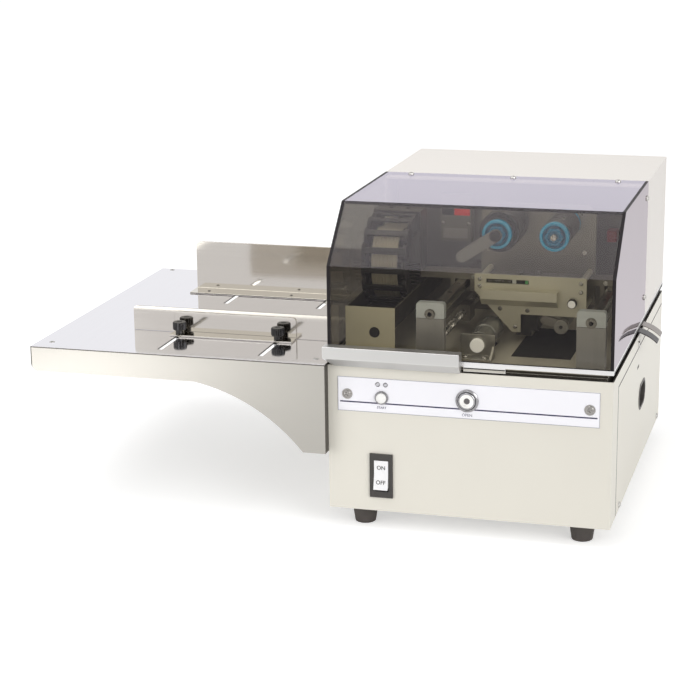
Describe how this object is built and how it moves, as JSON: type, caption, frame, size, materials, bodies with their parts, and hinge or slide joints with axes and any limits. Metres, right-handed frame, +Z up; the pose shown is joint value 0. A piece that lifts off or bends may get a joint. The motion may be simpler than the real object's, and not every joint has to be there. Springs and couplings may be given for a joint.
{
  "type": "thermal transfer printer",
  "caption": "Desktop thermal transfer printer with a smoke-tinted hinged hood, a sliding print carriage fed by a cable chain, and a polished side table with guide fences.",
  "frame": {"origin": "on the table top under the middle of the case, at the centre of the four feet", "axes": "+X along the paper path, away from the feed table; +Y to the back; +Z up"},
  "size_m": [0.785, 0.5237, 0.4134],
  "materials": {
    "case_paint": "satin",
    "cover_paint": "satin",
    "clear_acrylic": "gloss, smoke tinted",
    "polished_steel": "mirror polish",
    "brushed_plate": "brushed",
    "grip_aluminium": "satin anodised",
    "mech_aluminium": "machined",
    "steel_parts": "ground",
    "dark_sheet": "satin",
    "trough_sheet": "satin",
    "black_plastic": "matt",
    "white_plastic": "gloss",
    "blue_plastic": "gloss",
    "ribbon_film": "satin film",
    "label_plate": "satin",
    "lamp_plastic": "gloss",
    "foot_rubber": "matt",
    "pad_rubber": "matt",
    "roller_rubber": "matt",
    "screw_steel": "plated",
    "sensor_plastic": "matt",
    "board_laminate": "satin"
  },
  "bodies": {
    "chassis": {"base_shell": "case_paint", "chassis_tray": "case_paint", "side_covers": "case_paint", "carry_recesses": "black_plastic", "rubber_feet": "foot_rubber", "case_screws": "screw_steel", "front_overlay": "label_plate", "button_rings": "polished_steel", "status_leds": "lamp_plastic", "switch_bezel": "black_plastic", "mains_inlet": "black_plastic", "deck_frame": "dark_sheet", "platen_pad": "pad_rubber", "main_plate": "dark_sheet", "front_posts": "mech_aluminium", "guide_rails": "steel_parts", "exit_guides": "dark_sheet", "chain_trough": "trough_sheet", "chain_lower": "black_plastic", "feed_bearing": "mech_aluminium", "drive_motors": "black_plastic", "power_supply": "brushed_plate", "control_board": "board_laminate", "sensor_units": "sensor_plastic", "feed_table": "polished_steel", "rear_fence": "brushed_plate", "hinge_base_leaves": "steel_parts"},
    "hood": {"hood_front_pane": "clear_acrylic", "hood_top_pane": "clear_acrylic", "hood_side_panes": "clear_acrylic", "hood_screws": "screw_steel", "rear_cover": "cover_paint", "hood_rim": "cover_paint", "hood_grip": "grip_aluminium", "hinge_hood_leaves": "steel_parts"},
    "open_button": {"open_button": "screw_steel"},
    "start_button": {"start_button": "white_plastic"},
    "power_rocker": {"power_rocker": "white_plastic"},
    "front_guide": {"front_fence": "brushed_plate"},
    "knob_left": {"thumb_knob_left": "black_plastic"},
    "knob_right": {"thumb_knob_right": "black_plastic"},
    "carriage": {"carriage_frame": "mech_aluminium", "head_front_plate": "mech_aluminium", "carriage_screws": "screw_steel", "spindle_axles": "steel_parts", "chain_clip": "dark_sheet"},
    "chain": {"chain_bend": "black_plastic"},
    "lead_screw": {"drive_screw": "steel_parts"},
    "head": {"print_head": "mech_aluminium"},
    "pressure_knob": {"pressure_knob": "white_plastic"},
    "tension_arm": {"tension_arm": "steel_parts"},
    "ribbon_roller": {"ribbon_roller": "steel_parts"},
    "supply_reel": {"supply_hub": "black_plastic", "supply_core": "blue_plastic", "ribbon_roll": "ribbon_film"},
    "takeup_reel": {"takeup_hub": "black_plastic", "takeup_core": "blue_plastic"},
    "reel_lever": {"reel_lever": "dark_sheet"},
    "feed_roller": {"feed_roller": "roller_rubber"},
    "drive_roller": {"drive_roller": "roller_rubber"}
  },
  "joints": [
    {"name": "hood_hinge", "type": "hinge", "parent": "chassis", "child": "hood", "pos_m": [0, 0.254, 0.21925], "axis": [-1, 0, 0], "range_deg": [0, 78]},
    {"name": "open_button_press", "type": "slide", "parent": "chassis", "child": "open_button", "axis": [0, 1, 0], "range_m": [0, 0.003], "stiffness_N_per_m": 400, "springref_m": -0.002},
    {"name": "start_button_press", "type": "slide", "parent": "chassis", "child": "start_button", "axis": [0, 1, 0], "range_m": [0, 0.002], "stiffness_N_per_m": 400, "springref_m": -0.002},
    {"name": "power_rocker_tilt", "type": "hinge", "parent": "chassis", "child": "power_rocker", "pos_m": [-0.111, -0.244, 0.0735], "axis": [1, 0, 0], "range_deg": [0, 14]},
    {"name": "front_fence_slide", "type": "slide", "parent": "chassis", "child": "front_guide", "axis": [0, 1, 0], "range_m": [-0.07, 0.055]},
    {"name": "left_knob_turn", "type": "hinge", "parent": "front_guide", "child": "knob_left", "pos_m": [-0.409, -0.167, 0.23], "axis": [0, 0, 1], "range_deg": [0, 360]},
    {"name": "right_knob_turn", "type": "hinge", "parent": "front_guide", "child": "knob_right", "pos_m": [-0.272, -0.167, 0.23], "axis": [0, 0, 1], "range_deg": [0, 360]},
    {"name": "carriage_slide", "type": "slide", "parent": "chassis", "child": "carriage", "axis": [0, -1, 0], "range_m": [0, 0.07]},
    {"name": "chain_roll", "type": "slide", "parent": "chassis", "child": "chain", "axis": [0, -1, 0], "range_m": [0, 0.0351]},
    {"name": "lead_screw_turn", "type": "hinge", "parent": "chassis", "child": "lead_screw", "pos_m": [-0.05, 0, 0.242], "axis": [0, 1, 0], "range_deg": [0, 1300]},
    {"name": "head_press", "type": "slide", "parent": "carriage", "child": "head", "axis": [0, 0, -1], "range_m": [0, 0.006], "stiffness_N_per_m": 800, "springref_m": -0.004},
    {"name": "pressure_knob_turn", "type": "hinge", "parent": "carriage", "child": "pressure_knob", "pos_m": [0.1045, -0.104, 0.2745], "axis": [0, 1, 0], "range_deg": [0, 300]},
    {"name": "tension_arm_swing", "type": "hinge", "parent": "carriage", "child": "tension_arm", "pos_m": [0.068, -0.094, 0.249], "axis": [0, -1, 0], "range_deg": [-6, 8], "stiffness_Nm_per_rad": 0.6, "springref_deg": 2.01},
    {"name": "ribbon_roller_spin", "type": "hinge", "parent": "tension_arm", "child": "ribbon_roller", "pos_m": [0.091, -0.094, 0.2435], "axis": [0, 1, 0], "continuous": true},
    {"name": "takeup_spin", "type": "hinge", "parent": "carriage", "child": "takeup_reel", "pos_m": [0.083, -0.08, 0.3645], "axis": [0, 1, 0], "continuous": true},
    {"name": "supply_spin", "type": "hinge", "parent": "carriage", "child": "supply_reel", "pos_m": [0.009, -0.08, 0.3645], "axis": [0, 1, 0], "continuous": true},
    {"name": "reel_lever_turn", "type": "hinge", "parent": "carriage", "child": "reel_lever", "pos_m": [0.009, -0.13, 0.3645], "axis": [0, 1, 0], "range_deg": [-60, 34]},
    {"name": "drive_roller_spin", "type": "hinge", "parent": "chassis", "child": "drive_roller", "pos_m": [-0.002, -0.134, 0.2082], "axis": [0, 1, 0], "continuous": true},
    {"name": "feed_roller_spin", "type": "hinge", "parent": "chassis", "child": "feed_roller", "pos_m": [-0.002, -0.134, 0.2345], "axis": [0, 1, 0], "continuous": true}
  ],
  "couplings": [
    {"joint": "chain_roll", "follows": "carriage_slide", "ratio": 0.5},
    {"joint": "lead_screw_turn", "follows": "carriage_slide", "rad_per_m": 314.16},
    {"joint": "supply_spin", "follows": "takeup_spin", "ratio": 0.7308},
    {"joint": "feed_roller_spin", "follows": "drive_roller_spin", "ratio": -0.625}
  ]
}
